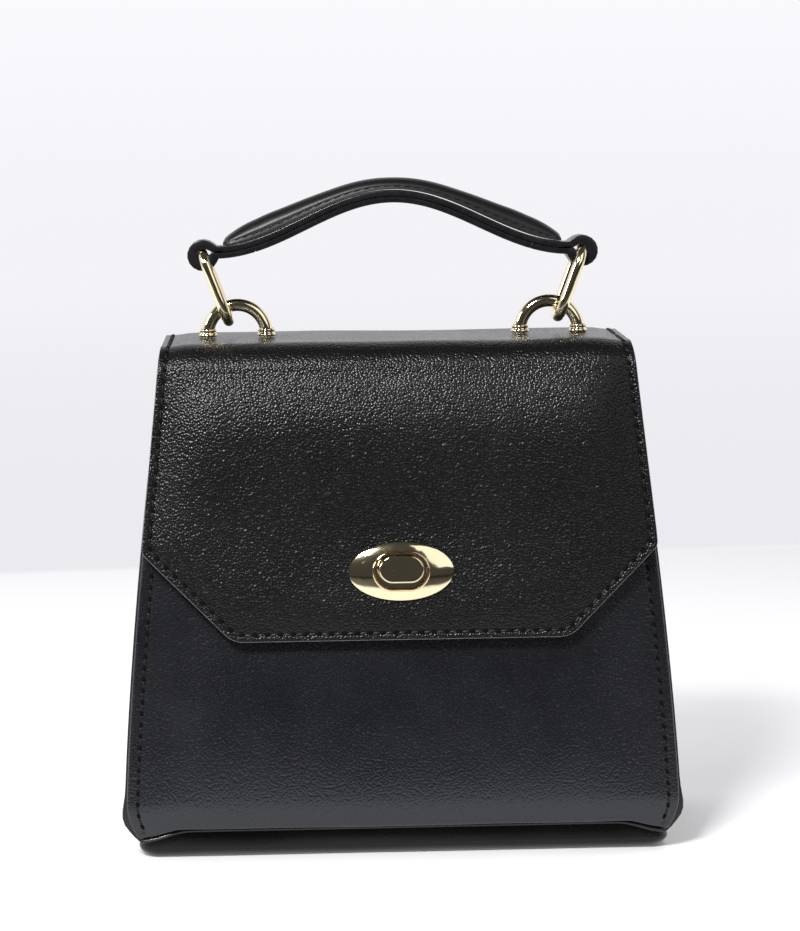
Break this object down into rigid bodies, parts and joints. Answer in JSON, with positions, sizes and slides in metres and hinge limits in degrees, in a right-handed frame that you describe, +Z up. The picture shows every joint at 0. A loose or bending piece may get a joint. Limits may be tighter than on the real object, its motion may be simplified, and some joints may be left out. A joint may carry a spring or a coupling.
{
  "type": "top-handle flap handbag",
  "caption": "Small structured flap bag with a padded top handle on oval rings and a turn lock on its cut-cornered flap.",
  "frame": {"origin": "middle of the base tray's flat underside, on the surface that the bag stands on", "axes": "+Z up, -Y out of the bag's front where the flap hangs, +X along its width to a viewer's right"},
  "size_m": [0.2006, 0.0996, 0.2406],
  "materials": {
    "black_leather": "satin, fine grain",
    "black_edge": "painted edge, satin",
    "olive_binding": "matt tape",
    "pale_gold": "polished",
    "inner_steel": "plain plated",
    "lining_cloth": "matt woven",
    "fibre_board": "pressed board",
    "foam": "matt foam"
  },
  "bodies": {
    "body": {"front_panel": "black_leather", "rear_panel": "black_leather", "left_gusset": "black_leather", "right_gusset": "black_leather", "left_gusset_binding": "olive_binding", "right_gusset_binding": "olive_binding", "base_panel": "black_leather", "base_board": "fibre_board", "base_lining": "lining_cloth", "front_lining": "lining_cloth", "rear_lining": "lining_cloth", "left_lining": "lining_cloth", "right_lining": "lining_cloth", "slip_pocket": "lining_cloth", "front_piping": "black_edge", "rear_piping": "black_edge", "front_top_binding": "black_leather", "rear_hinge_band": "black_leather", "lock_base_plate": "pale_gold", "lock_back_plate": "inner_steel", "left_lock_rivet": "inner_steel", "right_lock_rivet": "inner_steel"},
    "lock_knob": {"turn_knob": "pale_gold", "spindle_clip": "inner_steel"},
    "flap_top": {"flap_top_leather": "black_leather", "flap_top_board": "fibre_board", "flap_top_lining": "lining_cloth", "left_arch": "pale_gold", "right_arch": "pale_gold", "left_outer_collar": "pale_gold", "left_inner_collar": "pale_gold", "right_inner_collar": "pale_gold", "right_outer_collar": "pale_gold", "left_outer_washer": "inner_steel", "left_inner_washer": "inner_steel", "right_inner_washer": "inner_steel", "right_outer_washer": "inner_steel", "left_outer_screw": "inner_steel", "left_inner_screw": "inner_steel", "right_inner_screw": "inner_steel", "right_outer_screw": "inner_steel"},
    "flap_front": {"flap_front_leather": "black_leather", "flap_front_lining": "lining_cloth", "escutcheon": "pale_gold", "escutcheon_back_plate": "inner_steel", "left_escutcheon_tongue": "inner_steel", "right_escutcheon_tongue": "inner_steel"},
    "handle": {"handle_strap": "black_leather", "handle_underlay": "black_leather", "handle_cover": "black_leather", "handle_pad": "foam"},
    "left_link": {"left_ring": "pale_gold"},
    "right_link": {"right_ring": "pale_gold"}
  },
  "joints": [
    {"name": "flap_lift", "type": "hinge", "parent": "body", "child": "flap_top", "pos_m": [0, 0.03343, 0.171], "axis": [-1, 0, 0], "range_deg": [0, 110]},
    {"name": "flap_fold", "type": "hinge", "parent": "flap_top", "child": "flap_front", "pos_m": [0, -0.03603, 0.171], "axis": [-1, 0, 0], "range_deg": [0, 90]},
    {"name": "lock_turn", "type": "hinge", "parent": "body", "child": "lock_knob", "pos_m": [0, -0.03817, 0.1022], "axis": [0, -0.9942, 0.1075], "range_deg": [0, 90]},
    {"name": "handle_swing", "type": "hinge", "parent": "flap_top", "child": "handle", "pos_m": [0, 0, 0.19438], "axis": [1, 0, 0], "range_deg": [-86, 86]},
    {"name": "left_ring_tilt", "type": "hinge", "parent": "handle", "child": "left_link", "pos_m": [-0.0689, 0, 0.2131], "axis": [0, -1, 0], "range_deg": [-1, 5]},
    {"name": "right_ring_tilt", "type": "hinge", "parent": "handle", "child": "right_link", "pos_m": [0.0689, 0, 0.2131], "axis": [0, 1, 0], "range_deg": [-1, 5]}
  ]
}
